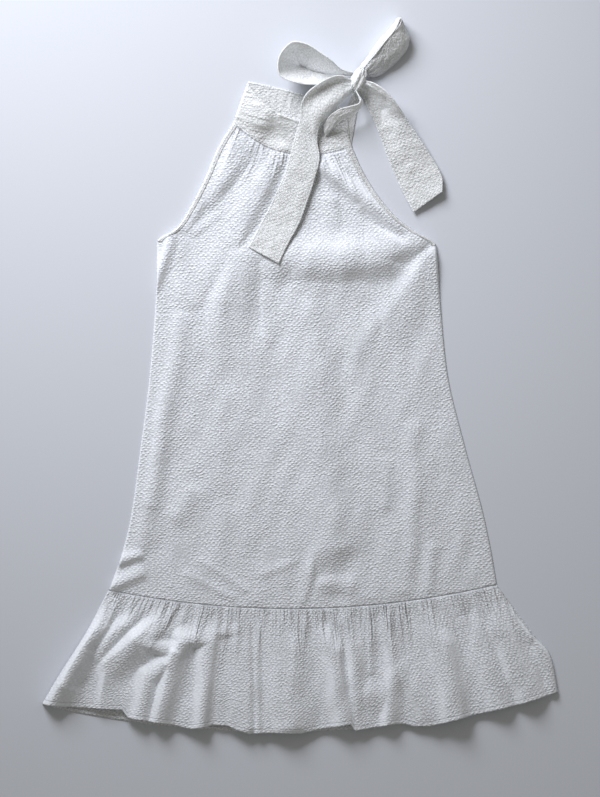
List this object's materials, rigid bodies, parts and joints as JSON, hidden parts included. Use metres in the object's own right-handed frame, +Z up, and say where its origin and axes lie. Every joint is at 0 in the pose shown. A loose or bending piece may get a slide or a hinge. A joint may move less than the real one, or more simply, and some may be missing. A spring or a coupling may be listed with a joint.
{
  "type": "drop waist dress",
  "caption": "Sleeveless halter dress in white puckered cotton with a dropped waist and a gathered ruffle, its neckband tied in a bow at one side, laid flat.",
  "frame": {"origin": "on the surface that the dress lies on, under the middle of its outline", "axes": "+Z up from the surface, out of the front of the dress; +Y from the hem towards the neck; +X to the side where the neckband is tied"},
  "size_m": [0.774, 1.0726, 0.0477],
  "materials": {
    "seersucker": "white cotton seersucker, one layer, matt and puckered in small even bubbles",
    "seersucker_band": "the same white cotton seersucker, folded double and topstitched along its edges"
  },
  "bodies": {
    "root": {"back_panel": "seersucker", "front_panel": "seersucker", "back_ruffle": "seersucker", "front_ruffle": "seersucker", "back_collar": "seersucker_band", "front_collar": "seersucker_band", "armhole_binding_left": "seersucker_band", "armhole_binding_right": "seersucker_band", "knot": "seersucker_band", "front_strap": "seersucker_band", "back_strap": "seersucker_band", "left_loop": "seersucker_band", "right_loop": "seersucker_band", "left_tail": "seersucker_band", "right_tail": "seersucker_band"}
  },
  "joints": []
}
